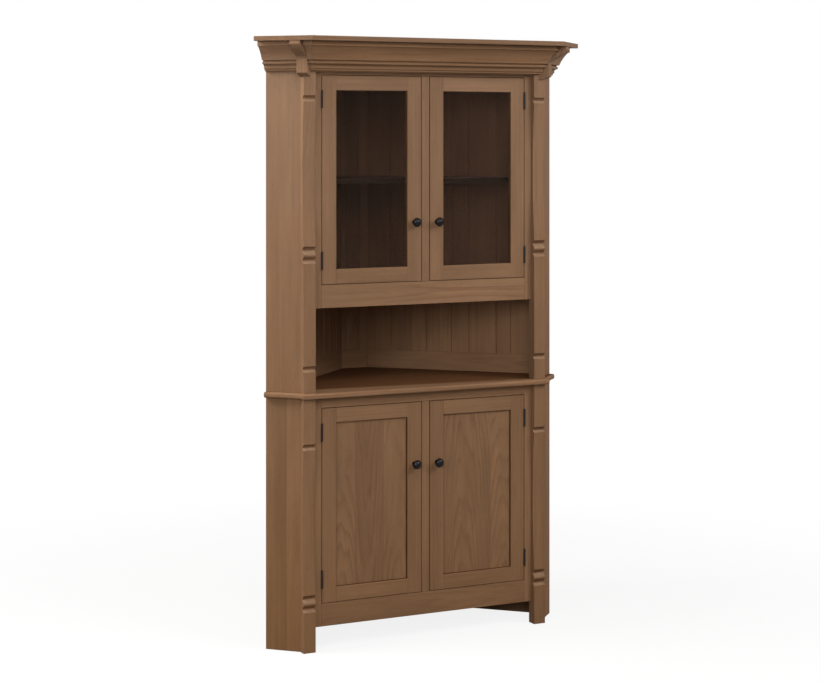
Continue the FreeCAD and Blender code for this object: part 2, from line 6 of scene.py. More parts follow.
import bmesh
import bpy
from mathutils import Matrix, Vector

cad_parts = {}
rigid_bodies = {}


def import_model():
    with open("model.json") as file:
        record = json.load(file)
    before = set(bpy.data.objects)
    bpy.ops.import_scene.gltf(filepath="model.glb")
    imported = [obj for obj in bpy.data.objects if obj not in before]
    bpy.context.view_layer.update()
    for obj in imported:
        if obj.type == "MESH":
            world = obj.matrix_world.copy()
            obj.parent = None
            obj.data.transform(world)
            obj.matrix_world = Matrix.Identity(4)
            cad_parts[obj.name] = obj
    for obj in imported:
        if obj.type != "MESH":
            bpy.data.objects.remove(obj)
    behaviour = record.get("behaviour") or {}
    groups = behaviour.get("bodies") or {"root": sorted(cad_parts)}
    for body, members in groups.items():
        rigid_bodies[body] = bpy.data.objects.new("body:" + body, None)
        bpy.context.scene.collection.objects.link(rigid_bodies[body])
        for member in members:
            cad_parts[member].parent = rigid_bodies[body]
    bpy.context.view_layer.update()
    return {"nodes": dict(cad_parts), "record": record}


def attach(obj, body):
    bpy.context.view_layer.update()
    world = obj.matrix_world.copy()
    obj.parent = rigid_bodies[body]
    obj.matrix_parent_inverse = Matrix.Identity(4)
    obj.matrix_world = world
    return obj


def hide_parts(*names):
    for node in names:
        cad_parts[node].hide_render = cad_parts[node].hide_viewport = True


mm = 0.001
sameSpot = 1e-6  # metres: places nearer than this are one
flatDegrees = 0.6  # faces that meet at less than this are one
squareLimit = 0.01  # directions with less than this in common are square to each other

for startupObject in list(bpy.data.objects):
    bpy.data.objects.remove(startupObject)

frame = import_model()

bodyOfNode = {}
for bodyName, nodeNames in frame["record"]["behaviour"]["bodies"].items():
    for nodeName in nodeNames:
        bodyOfNode[nodeName] = bodyName


def toLinear(hexColour):  # undoes the sRGB curve
    channels = [int(hexColour[i:i + 2], 16) / 255.0 for i in (1, 3, 5)]
    linear = [c / 12.92 if c <= 0.04045 else ((c + 0.055) / 1.055) ** 2.4 for c in channels]
    return (linear[0], linear[1], linear[2], 1.0)


def addNode(tree, kind, settings=None, inputs=None):  # an input may be a node: its first output is linked
    node = tree.nodes.new(kind)
    for name, value in (settings or {}).items():
        setattr(node, name, value)
    for name, value in (inputs or {}).items():
        if isinstance(value, bpy.types.Node):
            value = value.outputs[0]
        if isinstance(value, bpy.types.NodeSocket):
            tree.links.new(value, node.inputs[name])
        else:
            node.inputs[name].default_value = value
    return node


def newMaterial(name):
    material = bpy.data.materials.new(name)
    material.use_nodes = True
    material.node_tree.nodes.clear()
    return material, material.node_tree


def addObject(name, data):
    made = bpy.data.objects.new(name, data)
    bpy.context.scene.collection.objects.link(made)
    return made


def toMesh(name, shape):  # smooth shaded, and the shape is used up
    mesh = bpy.data.meshes.new(name)
    shape.to_mesh(mesh)
    shape.free()
    for polygon in mesh.polygons:
        polygon.use_smooth = True
    return mesh


def bevel(shape, edges, easedMm, segments):
    return bmesh.ops.bevel(
        shape, geom=edges, offset=easedMm * mm, offset_type="OFFSET",
        segments=segments, profile=0.5, affect="EDGES", clamp_overlap=True)


# Oak, machined and sanded, wiped with a brown stain under satin lacquer: quiet rings, short dark pores.
# Its colour also carries painted highlights on edges, painted shade in gaps and grooves, and a painted sheen
# that grows with height.
oakLook = {
    "earlyWood": "#85664c",
    "middleWood": "#7f6047",
    "lateWood": "#72513b",
    "poreBrown": "#563f2c",
    # rubbed-through wear, and a painted highlight along the eased edges and on the grooves' lower banks
    "rubbedEdgeAndHighlight": "#c8ae96",
    "stainAndGapShade": "#3e1c08",  # stain along the joints, and painted shade in the gaps between parts
    "noises": {  # width and length in millimetres, detail and roughness
        "waver": (84.0, 420.0, 2.0, 0.5),
        "gather": (27.0, 840.0, 2.0, 0.5),  # rings crowd together and spread apart
        "fading": (45.9, 630.0, 1.0, 0.5),  # and come and go
        "jitter": (12.8, 70.0, 3.0, 0.5),
        "streak": (17.0, 620.0, 3.0, 0.6),
        "pores": (1.5, 34.0, 2.0, 0.6),  # real pores are 0.3 mm wide
        "blotch": (70.0, 280.0, 3.0, 0.5),
    },
    "ringSpacingMm": 10.0,  # real rings are 2 to 4 mm, drawn wider so that they show
    "ringShiftMm": {"waver": 14.0, "gather": 18.9, "jitter": 3.2},
    "ringStops": (
        (0.0, "middleWood"), (0.15, "earlyWood"), (0.6, "middleWood"), (0.88, "lateWood"),
        (0.98, "middleWood")),
    "masks": {  # from and to in the noise, and the least and most that it gives
        "fading": (0.36, 0.62, 0.124, 0.62),  # how strongly the rings show
        "pores": (0.58, 0.76, 0.0, 0.6),
    },
    "poresInRings": (-0.55, 1.0),  # gain and base, as in the three below
    "streakShade": (0.32, 0.84),
    "blotchShade": (0.4, 0.8),
    "rubAndHighlightPatches": (0.7, 0.1),
    "stainAndGapShadeDepth": 0.95,
    "roughness": 0.6,
    "poreRoughness": 0.25,
    "gloss": 0.05,
    "ior": 1.4,
    "poreDepthMm": 0.12,
    "ringDepth": 0.25,  # as a share of the pores' depth
    "bumpStrength": 0.5,
}


# The grain attribute holds each stave's place in its own tree: X and Y from the pith, Z along the trunk.
def makeOak(name, look):
    material, tree = newMaterial(name)
    attributes = {}
    for attribute in ("grain", "tone", "rubAndPaintedLight", "figure"):
        attributes[attribute] = addNode(tree, "ShaderNodeAttribute", {"attribute_name": attribute})
    grain = attributes["grain"].outputs["Vector"]
    multiply, multiplyAdd = {"operation": "MULTIPLY"}, {"operation": "MULTIPLY_ADD"}
    noises = {}
    for key, (width, length, detail, rough) in look["noises"].items():
        scales = (1.0 / (width * mm), 1.0 / (width * mm), 1.0 / (length * mm))
        stretched = addNode(tree, "ShaderNodeVectorMath", multiply, {0: grain, 1: scales})
        noises[key] = addNode(tree, "ShaderNodeTexNoise", {}, {
            "Vector": stretched, "Scale": 1.0, "Detail": detail, "Roughness": rough})

    fromPith = addNode(tree, "ShaderNodeVectorMath", multiply, {0: grain, 1: (1.0, 1.0, 0.0)})
    radius = addNode(tree, "ShaderNodeVectorMath", {"operation": "LENGTH"}, {0: fromPith}).outputs["Value"]
    for key, shift in look["ringShiftMm"].items():
        radius = addNode(tree, "ShaderNodeMath", multiplyAdd, {0: noises[key], 1: shift * mm, 2: radius})
    rings = addNode(tree, "ShaderNodeMath", {"operation": "DIVIDE"}, {
        0: radius, 1: look["ringSpacingMm"] * mm})
    rings = addNode(tree, "ShaderNodeMath", {"operation": "FRACT"}, {0: rings})
    ringColour = addNode(tree, "ShaderNodeValToRGB", {}, {"Fac": rings})
    stops = ringColour.color_ramp.elements
    stops.remove(stops[1])
    for place, key in look["ringStops"]:
        stop = stops.new(place) if place else stops[0]  # a ramp has its first stop from the start
        stop.color = toLinear(look[key])

    masks = {}
    for key, (low, high, least, most) in look["masks"].items():
        masks[key] = addNode(tree, "ShaderNodeMapRange", {}, {
            "Value": noises[key], "From Min": low, "From Max": high, "To Min": least, "To Max": most})
    shades = {}
    for key, source in (("poresInRings", rings), ("streakShade", noises["streak"]),
                        ("blotchShade", noises["blotch"]), ("rubAndHighlightPatches", noises["jitter"])):
        gain, base = look[key]
        shades[key] = addNode(tree, "ShaderNodeMath", multiplyAdd, {0: source, 1: gain, 2: base})

    contrast = addNode(tree, "ShaderNodeMath", multiply, {
        0: masks["fading"], 1: attributes["figure"].outputs["Fac"]})
    poreMask = addNode(tree, "ShaderNodeMath", multiply, {0: masks["pores"], 1: shades["poresInRings"]})
    ringed = addNode(tree, "ShaderNodeMix", {"data_type": "RGBA"}, {
        0: contrast, 6: toLinear(look["middleWood"]), 7: ringColour})
    pored = addNode(tree, "ShaderNodeMix", {"data_type": "RGBA"}, {
        0: poreMask, 6: ringed.outputs[2], 7: toLinear(look["poreBrown"])})
    shade = addNode(tree, "ShaderNodeMath", multiply, {0: shades["streakShade"], 1: shades["blotchShade"]})
    toned = addNode(tree, "ShaderNodeVectorMath", multiply, {
        0: pored.outputs[2], 1: attributes["tone"].outputs["Vector"]})
    toned = addNode(tree, "ShaderNodeVectorMath", {"operation": "SCALE"}, {0: toned, "Scale": shade})

    finished = toned.outputs[0]  # rubbed and lightened with a painted highlight where the mark is above 0, stained and darkened with painted shade where it is below
    for gain, key in ((shades["rubAndHighlightPatches"], "rubbedEdgeAndHighlight"), (-look["stainAndGapShadeDepth"], "stainAndGapShade")):
        mask = addNode(tree, "ShaderNodeMath", multiply, {0: attributes["rubAndPaintedLight"].outputs["Fac"], 1: gain})
        mask = addNode(tree, "ShaderNodeMath", {"operation": "MAXIMUM"}, {0: mask, 1: 0.0})
        finished = addNode(tree, "ShaderNodeMix", {"data_type": "RGBA"}, {
            0: mask, 6: finished, 7: toLinear(look[key])}).outputs[2]

    height = addNode(tree, "ShaderNodeMath", multiply, {0: rings, 1: -look["ringDepth"]})
    height = addNode(tree, "ShaderNodeMath", multiplyAdd, {0: poreMask, 1: -1.0, 2: height})
    bump = addNode(tree, "ShaderNodeBump", {}, {
        "Strength": look["bumpStrength"], "Distance": look["poreDepthMm"] * mm, "Height": height})
    rough = addNode(tree, "ShaderNodeMath", multiplyAdd, {
        0: poreMask, 1: look["poreRoughness"], 2: look["roughness"]})
    surface = addNode(tree, "ShaderNodeBsdfPrincipled", {}, {
        "Base Color": finished, "Roughness": rough, "IOR": look["ior"],
        "Specular IOR Level": look["gloss"], "Normal": bump})
    addNode(tree, "ShaderNodeOutputMaterial", {}, {"Surface": surface})
    return material


# Clear float glass, fire polished: a dark, nearly neutral pane with one soft reflection; its tint is darkened
# as painted shade for the cabinet's inside.
paneLook = {
    "tintAndInsideShade": "#c7c4c5",
    "shade": "#8f8b8e",  # what its shadow lets through
    "roughness": 0.02,
    "ior": 1.12,  # real glass is 1.52, and would mirror the white surround too strongly
}


def makePane(look):
    material, tree = newMaterial("floatGlass")
    glass = addNode(tree, "ShaderNodeBsdfPrincipled", {}, {
        "Base Color": toLinear(look["tintAndInsideShade"]), "Roughness": look["roughness"], "IOR": look["ior"],
        "Transmission Weight": 1.0})
    clear = addNode(tree, "ShaderNodeBsdfTransparent", {}, {"Color": toLinear(look["shade"])})
    rays = addNode(tree, "ShaderNodeLightPath")
    mix = addNode(tree, "ShaderNodeMixShader", {}, {  # light passes through to the shelves
        0: rays.outputs["Is Shadow Ray"], 1: glass, 2: clear})
    addNode(tree, "ShaderNodeOutputMaterial", {}, {"Surface": mix})
    return material


# Zinc knobs, cast and plated a waxed black bronze: a glossy dome with brown where hands rub it.
bronzeLook = {
    "black": "#1d1e21", "worn": "#2a231d", "roughness": 0.15, "blotchMm": 9.0, "metal": 1.0}
# Steel hinges and plates, rolled and oil blackened: a dull near black.
steelLook = {
    "black": "#0f0e0e", "worn": "#1c1613", "roughness": 0.5, "blotchMm": 14.0, "metal": 0.6}
# What both have: where the wear begins and ends in the noise, and how uneven and gritty the skin is. The
# grit is drawn at 0.8 mm, four times the real size, so that it shows.
metalSkin = {
    "wear": (0.5, 0.75), "smoother": 0.05, "rougher": 0.07, "blotchDetail": 3.0,
    "gritMm": 0.8, "gritDetail": 2.0, "gritDepthMm": 0.1, "gritStrength": 0.15}


def makeBlackMetal(name, look, skin=metalSkin):
    material, tree = newMaterial(name)
    place = addNode(tree, "ShaderNodeTexCoord").outputs["Object"]
    blotch = addNode(tree, "ShaderNodeTexNoise", {}, {
        "Vector": place, "Scale": 1.0 / (look["blotchMm"] * mm), "Detail": skin["blotchDetail"]})
    grit = addNode(tree, "ShaderNodeTexNoise", {}, {
        "Vector": place, "Scale": 1.0 / (skin["gritMm"] * mm), "Detail": skin["gritDetail"]})
    spread = addNode(tree, "ShaderNodeMapRange", {}, {
        "Value": blotch, "From Min": skin["wear"][0], "From Max": skin["wear"][1]})
    colour = addNode(tree, "ShaderNodeMix", {"data_type": "RGBA"}, {
        "Factor": spread, 6: toLinear(look["black"]), 7: toLinear(look["worn"])})
    rough = addNode(tree, "ShaderNodeMapRange", {}, {
        "Value": blotch, "To Min": look["roughness"] - skin["smoother"],
        "To Max": look["roughness"] + skin["rougher"]})
    bump = addNode(tree, "ShaderNodeBump", {}, {
        "Strength": skin["gritStrength"], "Distance": skin["gritDepthMm"] * mm, "Height": grit})
    surface = addNode(tree, "ShaderNodeBsdfPrincipled", {}, {
        "Base Color": colour.outputs[2], "Metallic": look["metal"], "Roughness": rough, "Normal": bump})
    addNode(tree, "ShaderNodeOutputMaterial", {}, {"Surface": surface})
    return material


# Nylon, injection moulded in brown, with a faint satin skin.
plasticLook = {
    "brown": "#4a3324", "roughness": 0.48, "ior": 1.53,
    "flowMm": 14.0, "flowDetail": 2.0, "flowShade": (0.85, 1.12)}


def makePlastic(look):
    material, tree = newMaterial("mouldedNylon")
    place = addNode(tree, "ShaderNodeTexCoord").outputs["Object"]
    flow = addNode(tree, "ShaderNodeTexNoise", {}, {
        "Vector": place, "Scale": 1.0 / (look["flowMm"] * mm), "Detail": look["flowDetail"]})
    shade = addNode(tree, "ShaderNodeMapRange", {}, {
        "Value": flow, "To Min": look["flowShade"][0], "To Max": look["flowShade"][1]})
    colour = addNode(tree, "ShaderNodeVectorMath", {"operation": "SCALE"}, {
        0: toLinear(look["brown"])[:3], "Scale": shade})
    surface = addNode(tree, "ShaderNodeBsdfPrincipled", {}, {
        "Base Color": colour, "Roughness": look["roughness"], "IOR": look["ior"]})
    addNode(tree, "ShaderNodeOutputMaterial", {}, {"Surface": surface})
    return material


oak = makeOak("stainedOak", oakLook)
plastic = makePlastic(plasticLook)
pane = makePane(paneLook)
bronze = makeBlackMetal("blackenedBronze", bronzeLook)
steel = makeBlackMetal("blackenedSteel", steelLook)
print("materials made")


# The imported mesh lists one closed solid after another, and a solid ends when its edges have all paired up.
def splitSolids(node):
    mesh = frame["nodes"][node].data
    ids = {}
    corners = []
    for vertex in mesh.vertices:  # told apart to the micron
        corners.append(ids.setdefault(tuple(round(c * 1e6) for c in vertex.co), len(ids)))
    places = {}
    for vertex, corner in zip(mesh.vertices, corners):
        places.setdefault(corner, vertex.co.copy())
    solids = []
    current = []
    openEdges = {}
    unpaired = 0
    for polygon in mesh.polygons:
        loop = [corners[i] for i in polygon.vertices]
        if len(set(loop)) < 3:
            continue
        current.append(loop)
        for a, b in zip(loop, loop[1:] + loop[:1]):
            if openEdges.get((b, a), 0) > 0:
                openEdges[(b, a)] -= 1
                unpaired -= 1
            else:
                openEdges[(a, b)] = openEdges.get((a, b), 0) + 1
                unpaired += 1
        if unpaired == 0:
            solids.append(current)
            current = []
            openEdges = {}
    shapes = []
    for triangles in solids:
        shape = bmesh.new()
        made = {}
        for loop in triangles:
            for corner in loop:
                if corner not in made:
                    made[corner] = shape.verts.new(places[corner])
            shape.faces.new([made[corner] for corner in loop])
        shapes.append(shape)
    return shapes


# How the joiner eases the edges, how the wood was sawn and finished, and the painted light and shade laid on
# it.
boardLook = {
    "easedEdgeMm": 1.1,
    "easedSegments": 2,
    "rubAndPaintedLight": -1.0,  # stained edges with painted gap shade, where a plan says nothing else
    "creaseDegrees": 34.0,
    "hardEdgeDegrees": 50.0,
    "toneSpread": 0.035,
    "firstStave": (0.6, 1.1),  # of the stave's width
    "nextStave": (0.75, 1.25),
    "leastStave": 0.45,
    "plainPithMm": (28.0, 60.0),  # how far behind the face the pith lay
    "riftPithMm": (150.0, 260.0),
    "plainOffsetMm": 12.0,
    "trunkLean": 0.05,
    "riftLean": 0.15,  # of the trunk's lean
    "trunkLength": 9.0,  # metres
    "fade": 0.5,
    "paintedLightMiddle": 1.0,  # metres up, where the colour is as written: a painted sheen pales it above, and painted shade darkens and warms it below
    "paintedLightReach": 0.9,
    "paintedLightLimits": (-1.0, 1.1),
    "paintedLightByHeight": (0.05, 0.13, 0.27),
    "grooveRise": (0.2, 0.98),  # the part of the normal that points up, or down, on a routed groove's banks
    "topRise": 0.9,  # a top's normal points up by more than this
    "sideTilt": 0.3,  # and a narrow side's normal points across the thickness by less than this
}

diagonal = math.sqrt(0.5)
directions = {
    "up": Vector((0, 0, 1)),
    "wide": Vector((1, 0, 0)),
    "leftWall": Vector((diagonal, diagonal, 0)),
    "rightWall": Vector((diagonal, -diagonal, 0)),
}
eighthTurn = math.pi / 4
crossDirections = [Vector((math.cos(i * eighthTurn), math.sin(i * eighthTurn), 0)) for i in range(4)]
crossDirections.append(directions["up"])


def extent(shape, direction):
    reach = [vertex.co.dot(direction) for vertex in shape.verts]
    return min(reach), max(reach)


def span(shape, direction):
    low, high = extent(shape, direction)
    return high - low


def cutAcross(shape, place, normal):  # scores the shape where a plane meets it
    geometry = list(shape.verts) + list(shape.edges) + list(shape.faces)
    bmesh.ops.bisect_plane(shape, geom=geometry, dist=sameSpot, plane_co=place, plane_no=normal)


# Rounds the sharp edges and returns the faces that this makes. The butted ends of a rail stay square.
def easeEdges(shape, easedMm, creaseDegrees, segments, buttedWay=None):
    bmesh.ops.dissolve_limit(
        shape, angle_limit=math.radians(flatDegrees), verts=shape.verts, edges=shape.edges)
    crease = math.radians(creaseDegrees)
    sharp = [edge for edge in shape.edges if len(edge.link_faces) == 2 and edge.calc_face_angle() > crease]
    if buttedWay:
        low, high = extent(shape, buttedWay)
        low, high = low + 10.0 * sameSpot, high - 10.0 * sameSpot
        reach = {edge: [vertex.co.dot(buttedWay) for vertex in edge.verts] for edge in sharp}
        sharp = [edge for edge in sharp if low < max(reach[edge]) and min(reach[edge]) < high]
    return set(bevel(shape, sharp, easedMm, segments)["faces"])


def cutStaves(shape, direction, width, maker, look):  # scores a wide panel along its glue lines
    low, high = extent(shape, direction)
    seams = []
    place = low + width * maker.uniform(*look["firstStave"])
    while place < high - width * look["leastStave"]:
        seams.append(place)
        cutAcross(shape, direction * place, direction)
        place += width * maker.uniform(*look["nextStave"])
    return seams


# Marks a narrow band round a panel, just inside the frame that covers its border: a painted shadow of the
# frame.
def cutRim(shape, ways, rim, index):
    border, band = rim[0] * mm, rim[1] * mm
    for way in ways:
        low, high = extent(shape, way)
        for place in (low + border, low + border + band, high - border - band, high - border):
            cutAcross(shape, way * place, way)
        for face in shape.faces:
            middle = face.calc_center_median().dot(way)
            if min(middle - low, high - middle) < border + band:
                face[index] = 1


# Cuts the counter along both sides of the line where the open niche's shade begins, and returns a function
# that says how far into the shade a point lies, from 0 to 1.
def cutStrip(shape, strip):
    (left, right), front = extent(shape, directions["wide"]), extent(shape, Vector((0, 1, 0)))[0]
    fade = strip["fadeMm"] * mm
    lean = (strip["rightMm"] - strip["leftMm"]) * mm / (right - left)
    start = front + strip["leftMm"] * mm - fade / 2.0 - left * lean
    for place in (start, start + fade):
        cutAcross(shape, (0.0, place, 0.0), (-lean, 1.0, 0.0))
    return lambda point: max(0.0, min(1.0, (point.y - point.x * lean - start) / fade))


# Where each stave sat in its tree, and its own tone. The corner is the board's low end, at its back.
def drawStaves(edges, wide, corner, maker, plan, look):
    staves = []
    for low, high in zip(edges, edges[1:]):
        kind = plan["sawn"] if plan["sawn"] != "mixed" else maker.choice(["plain", "rift", "rift"])
        isPlain = kind == "plain"
        depth = maker.uniform(*look["plainPithMm" if isPlain else "riftPithMm"]) * mm
        offset = look["plainOffsetMm"] * mm
        side = maker.uniform(-offset, offset) if isPlain else maker.choice([-1, 1]) * depth
        lean = plan.get("lean", look["trunkLean"]) * maker.uniform(-1.0, 1.0)
        along = maker.uniform(0.0, look["trunkLength"])
        spread = maker.uniform(-1, 1) * plan.get("spread", look["toneSpread"])
        staves.append({
            "origin": wide * (low + high) / 2.0 + corner, "side": side, "depth": depth,
            "lean": lean * (1.0 if isPlain else look["riftLean"]), "along": along,
            "tone": plan.get("tone", 1.0) * (1.0 + spread),
        })
    return staves


# Writes what the oak material reads: where the wood grew, its tone with painted light on some tops and sides
# and a painted sheen by height, its rubbed edges with painted highlights, its stained edges with painted
# shade, its figure.
def paintBoard(mesh, staves, seams, ways, shadeAt, plan, look):
    wide, thick, grainDirection = ways
    plain = (1.0, 1.0, 1.0)
    least, most = look["paintedLightLimits"]
    grains, tones, rubsAndPaintedLight = [], [], []
    for polygon in mesh.polygons:
        across = polygon.center.dot(wide)
        stave = staves[sum(across > seam for seam in seams)]
        rise = polygon.normal.z
        rubAndPaintedLight = mesh.attributes["eased"].data[polygon.index].value * plan.get("rubAndPaintedLight", look["rubAndPaintedLight"])
        # a groove's upward bank gets a painted highlight, its downward bank painted shade
        if "groove" in plan and look["grooveRise"][0] < abs(rise) < look["grooveRise"][1]:
            rubAndPaintedLight = plan["groove"][0 if rise > 0.0 else 1]
        # tops painted lighter or darker for how light falls on them
        isTop = "topPaintedLight" in plan and rise > look["topRise"]
        # narrow sides darkened with stain and with painted shade for the gaps
        isSide = "sideStainAndShade" in plan and abs(polygon.normal.dot(thick)) < look["sideTilt"]
        sideStainAndShade = plan["sideStainAndShade"] if isSide else plain
        for vertexIndex in polygon.vertices:
            point = mesh.vertices[vertexIndex].co
            offset = point - stave["origin"]
            along = offset.dot(grainDirection)
            grains += [offset.dot(wide) + stave["side"],
                       offset.dot(thick) + stave["depth"] + along * stave["lean"], along + stave["along"]]
            # painted light by height: a sheen above the middle, shade below
            fade = max(least, min(most, (point.z - look["paintedLightMiddle"]) / look["paintedLightReach"]))
            fade *= plan.get("fade", look["fade"])
            shade = shadeAt(point) if isTop else 0.0
            tones += [stave["tone"] * s * (1.0 + fade * f) * (1.0 + (t - 1.0) * shade)
                      for f, s, t in zip(look["paintedLightByHeight"], sideStainAndShade, plan.get("topPaintedLight", plain))]
            rubsAndPaintedLight.append(rubAndPaintedLight)
    figures = [plan.get("figure", 1.0)] * len(rubsAndPaintedLight)
    mesh.attributes.remove(mesh.attributes["eased"])
    mesh.attributes.new("grain", "FLOAT_VECTOR", "CORNER").data.foreach_set("vector", grains)
    mesh.attributes.new("tone", "FLOAT_VECTOR", "CORNER").data.foreach_set("vector", tones)
    mesh.attributes.new("rubAndPaintedLight", "FLOAT", "CORNER").data.foreach_set("value", rubsAndPaintedLight)
    mesh.attributes.new("figure", "FLOAT", "CORNER").data.foreach_set("value", figures)


def makeBoard(name, shape, grainDirection, maker, plan, look=boardLook):
    sides = [d for d in crossDirections if abs(d.dot(grainDirection)) < squareLimit]
    thick = min(sides, key=lambda d: span(shape, d))
    wide = grainDirection.cross(thick)
    start = grainDirection * extent(shape, grainDirection)[0]
    isRail = "ease" in plan and grainDirection != directions["up"]
    eased = easeEdges(shape, plan.get("ease", look["easedEdgeMm"]), look["creaseDegrees"],
                      look["easedSegments"], grainDirection if isRail else None)
    easedIndex = shape.faces.layers.int.new("eased")
    for face in shape.faces:
        face[easedIndex] = 1 if face in eased else 0
    seams = cutStaves(shape, wide, plan["stave"] * mm, maker, look) if "stave" in plan else []
    if "rim" in plan:
        cutRim(shape, (wide, grainDirection), plan["rim"], easedIndex)
    shadeAt = cutStrip(shape, plan["strip"]) if "strip" in plan else (lambda point: 1.0)
    low, high = extent(shape, wide)
    corner = start + thick * extent(shape, thick)[0]
    staves = drawStaves([low] + seams + [high], wide, corner, maker, plan, look)
    mesh = toMesh(name, shape)
    paintBoard(mesh, staves, seams, (wide, thick, grainDirection), shadeAt, plan, look)
    mesh.set_sharp_from_angle(angle=math.radians(look["hardEdgeDegrees"]))
    mesh.materials.append(oak)
    board = addObject(name, mesh)
    weigh = board.modifiers.new("flatFaces", "WEIGHTED_NORMAL")
    weigh.keep_sharp = True
    return board


# The stiles' and doors' narrow sides, darkened with stain and painted shade for the gaps, and the posts'
# routed
# grooves: a painted highlight on the lower bank, which faces up to the light, and painted shade under the
# upper one.
stileSideStainAndShade = (0.45, 0.34, 0.24)
doorSideStainAndShade = (0.5, 0.38, 0.26)
grooveHighlightAndShade = (0.3, -0.36)

# For each kind of piece: which way the grain runs, how it was sawn and how dark it is. Rub wears the edges
# above 0 and adds a painted highlight, and stains them below and adds painted shade; figure is how strongly
# the rings show, fade how much the tone changes with height as painted light, and spread how much it differs
# from stave to stave. Stave, ease, rim and strip are in millimetres.
woodPlan = {
    "_post": {"grain": "up", "sawn": "rift", "rubAndPaintedLight": 1.2, "figure": 0.5, "ease": 1.5, "groove": grooveHighlightAndShade},
    "hutch_return": {"grain": "up", "sawn": "mixed", "stave": 50.0, "tone": 0.99, "fade": 1.0, "rubAndPaintedLight": 0.0,
                     "figure": 0.35, "spread": 0.08},
    "base_return": {"grain": "up", "sawn": "mixed", "stave": 50.0, "fade": 1.0, "rubAndPaintedLight": 0.0,
                    "figure": 0.4, "spread": 0.12},
    "hutch_back": {"grain": "up", "sawn": "mixed", "tone": 1.13, "fade": 0.0, "figure": 0.6},
    "hutch_back_left": {"grain": "up", "sawn": "mixed", "tone": 1.3, "fade": 0.0, "figure": 0.6},
    "base_back": {"grain": "up", "sawn": "mixed", "stave": 110.0, "fade": 0.0},
    "hutch_stile": {
        "grain": "up", "sawn": "rift", "tone": 0.98, "figure": 0.5, "ease": 1.7, "sideStainAndShade": stileSideStainAndShade},
    "base_stile": {
        "grain": "up", "sawn": "rift", "tone": 1.03, "figure": 0.5, "ease": 1.7, "sideStainAndShade": stileSideStainAndShade},
    "hutch_mullion": {
        "grain": "up", "sawn": "rift", "tone": 0.92, "figure": 0.5, "ease": 1.7, "sideStainAndShade": stileSideStainAndShade},
    "base_mullion": {
        "grain": "up", "sawn": "rift", "tone": 0.98, "figure": 0.5, "ease": 1.7, "sideStainAndShade": stileSideStainAndShade},
    "hutch_top_rail": {"grain": "wide", "sawn": "rift"},
    "hutch_mid_rail": {"grain": "wide", "sawn": "plain", "tone": 1.05, "figure": 1.2},
    "base_top_rail": {"grain": "wide", "sawn": "rift", "tone": 1.12},
    "base_bottom_rail": {"grain": "wide", "sawn": "plain", "tone": 0.98},
    # the shelf's edge darkened as painted shade, its top left lighter than the edge as painted light
    "hutch_shelf": {"grain": "wide", "sawn": "mixed", "stave": 95.0, "tone": 0.17, "rubAndPaintedLight": 0.0,
                    "topPaintedLight": (4.6, 4.6, 4.6)},
    "_floor": {"grain": "wide", "sawn": "mixed", "stave": 95.0},
    "top_panel": {"grain": "wide", "sawn": "mixed", "stave": 95.0},
    "base_shelf": {"grain": "wide", "sawn": "mixed", "stave": 95.0},
    "shelf_cleats": {"grain": "longest", "sawn": "rift"},
    "crown": {"grain": "longest", "sawn": "rift", "tone": 1.1, "rubAndPaintedLight": 0.5},
    "crown_backer": {"grain": "wide", "sawn": "rift", "rubAndPaintedLight": 0.0},
    "crown_front": {"grain": "wide", "sawn": "rift", "tone": 1.08, "fade": -0.2, "rubAndPaintedLight": 0.5},
    "crown_top_board": {"grain": "wide", "sawn": "mixed", "stave": 105.0, "tone": 0.87, "rubAndPaintedLight": 0.8},
    "frieze": {"grain": "longest", "sawn": "rift", "rubAndPaintedLight": 0.5},
    "frieze_front": {"grain": "wide", "sawn": "rift", "tone": 0.86, "fade": -0.1, "rubAndPaintedLight": 0.3},
    "corbel": {"grain": "up", "sawn": "plain", "rubAndPaintedLight": 0.9},
    # edges lightened as painted light, and the top darkened as painted shade where the niche shades it
    "countertop": {"grain": "wide", "sawn": "mixed", "stave": 98.0, "tone": 1.12, "rubAndPaintedLight": 0.5,
                   "topPaintedLight": (0.47, 0.37, 0.29),
                   "strip": {"leftMm": 125.0, "rightMm": 25.0, "fadeMm": 30.0}},
    "door_frame": {
        "grain": "longest", "sawn": "rift", "tone": 0.98, "figure": 0.5, "ease": 1.5, "sideStainAndShade": doorSideStainAndShade},
    "lower_left_door_frame": {
        "grain": "longest", "sawn": "rift", "figure": 0.5, "ease": 1.5, "sideStainAndShade": doorSideStainAndShade},
    # the panel's rim band carries a painted shadow cast by the frame
    "door_panel": {"grain": "up", "sawn": "plain", "stave": 142.0, "tone": 0.96, "figure": 1.15, "lean": 0.12,
                   "spread": 0.1, "rim": (7.4, 1.3)},
    "door_beads": {"grain": "longest", "sawn": "rift"},
}


def planFor(node):  # the longest of the plan's names that the node's name holds
    keys = [key for key in woodPlan if key in node]
    return woodPlan[max(keys, key=len)] if keys else None


def longestDirection(shape):
    return max(directions.values(), key=lambda d: span(shape, d))


maker = random.Random(20)  # picks the boards, and turns the screws
nicheFloor = 1.0  # metres up: of the hutch's backs, only the plain rails end below it
boardCount = 0
for node in sorted(bodyOfNode):
    plan = planFor(node)
    if plan is None:
        continue
    for i, shape in enumerate(splitSolids(node)):
        isBackRail = node.startswith("hutch_back") and extent(shape, directions["up"])[1] < nicheFloor
        isLongest = plan["grain"] == "longest" or isBackRail
        grainDirection = longestDirection(shape) if isLongest else directions[plan["grain"]]
        board = makeBoard("%s.board%d" % (node, i), shape, grainDirection, maker, plan)
        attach(board, bodyOfNode[node])
        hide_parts(node)
        boardCount += 1
print("boards: %d" % boardCount)

